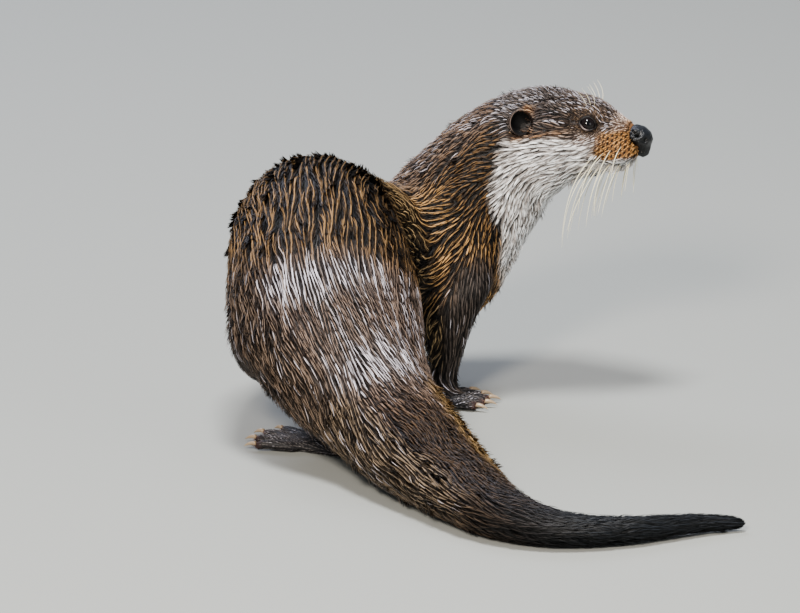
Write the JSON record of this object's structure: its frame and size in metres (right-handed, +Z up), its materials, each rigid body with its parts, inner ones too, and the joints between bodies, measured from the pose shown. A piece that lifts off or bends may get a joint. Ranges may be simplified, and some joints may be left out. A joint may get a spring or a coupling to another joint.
{
  "type": "river otter model",
  "caption": "Life-size still model of a Eurasian river otter with a wet coat, back arched, body curled to its right, head turned to look aside and tail laid along the floor.",
  "frame": {"origin": "on the floor under the middle of the model's box", "axes": "+Z up; the head looks along +X, the hindquarters and tail lie towards -Y and the forefeet towards +Y"},
  "size_m": [0.3726, 0.4764, 0.2316],
  "materials": {
    "guard_hair_head": "wet guard hair, silver brown above and cream below",
    "guard_hair_body": "wet dark brown guard hair in pointed locks",
    "guard_hair_limbs": "wet short dark hair",
    "nose_leather": "moist bare skin",
    "ear_skin": "dark skin with short hair",
    "eye": "wet dark eye",
    "claw_keratin": "pale keratin"
  },
  "bodies": {
    "root": {"head": "guard_hair_head", "nose": "nose_leather", "eye_left": "eye", "ear_left": "ear_skin", "eye_right": "eye", "ear_right": "ear_skin", "neck": "guard_hair_body", "chest": "guard_hair_body", "trunk": "guard_hair_body", "hindquarters": "guard_hair_body", "tail_root": "guard_hair_body", "tail_middle": "guard_hair_body", "tail_tip": "guard_hair_body", "foreleg_right": "guard_hair_limbs", "forefoot_right": "guard_hair_limbs", "foreclaw_right_1": "claw_keratin", "foreclaw_right_2": "claw_keratin", "foreclaw_right_3": "claw_keratin", "foreclaw_right_4": "claw_keratin", "foreclaw_right_5": "claw_keratin", "hindleg_right": "guard_hair_limbs", "hindfoot_right": "guard_hair_limbs", "hindclaw_right_1": "claw_keratin", "hindclaw_right_2": "claw_keratin", "hindclaw_right_3": "claw_keratin", "hindclaw_right_4": "claw_keratin", "hindclaw_right_5": "claw_keratin", "foreleg_left": "guard_hair_limbs", "forefoot_left": "guard_hair_limbs", "foreclaw_left_1": "claw_keratin", "foreclaw_left_2": "claw_keratin", "foreclaw_left_3": "claw_keratin", "foreclaw_left_4": "claw_keratin", "foreclaw_left_5": "claw_keratin", "hindleg_left": "guard_hair_limbs", "hindfoot_left": "guard_hair_limbs", "hindclaw_left_1": "claw_keratin", "hindclaw_left_2": "claw_keratin", "hindclaw_left_3": "claw_keratin", "hindclaw_left_4": "claw_keratin", "hindclaw_left_5": "claw_keratin"}
  },
  "joints": []
}
